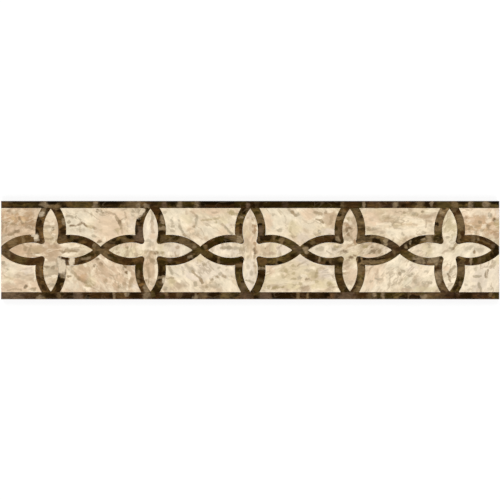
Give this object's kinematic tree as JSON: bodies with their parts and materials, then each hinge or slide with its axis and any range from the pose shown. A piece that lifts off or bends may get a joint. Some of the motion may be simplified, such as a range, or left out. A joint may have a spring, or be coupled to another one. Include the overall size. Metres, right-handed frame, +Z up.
{
  "type": "inlaid marble border tile",
  "caption": "Long flat border tile of cream marble inlaid with dark brown marble: a chain of outlined four-petalled crosses between dark edge strips, bedded as floor or wall trim.",
  "frame": {"origin": "middle of the tile's back face, which lies on the floor", "axes": "+X along the border, +Y across it towards the upper strip, +Z up out of the polished face"},
  "size_m": [0.598, 0.118, 0.01],
  "materials": {
    "cream_marble": "polished cream marble with fine brown and grey veins",
    "dark_marble": "polished dark brown marble with pale veins"
  },
  "bodies": {
    "root": {"cross_1": "cream_marble", "cross_2": "cream_marble", "cross_3": "cream_marble", "cross_4": "cream_marble", "cross_5": "cream_marble", "upper_panel_1": "cream_marble", "upper_panel_2": "cream_marble", "upper_panel_3": "cream_marble", "upper_panel_4": "cream_marble", "lower_panel_1": "cream_marble", "lower_panel_2": "cream_marble", "lower_panel_3": "cream_marble", "lower_panel_4": "cream_marble", "corner_upper_left": "cream_marble", "corner_upper_right": "cream_marble", "corner_lower_left": "cream_marble", "corner_lower_right": "cream_marble", "upper_strip": "dark_marble", "lower_strip": "dark_marble", "end_link_left": "dark_marble", "end_link_right": "dark_marble", "link_1": "dark_marble", "link_2": "dark_marble", "link_3": "dark_marble", "link_4": "dark_marble"}
  },
  "joints": []
}
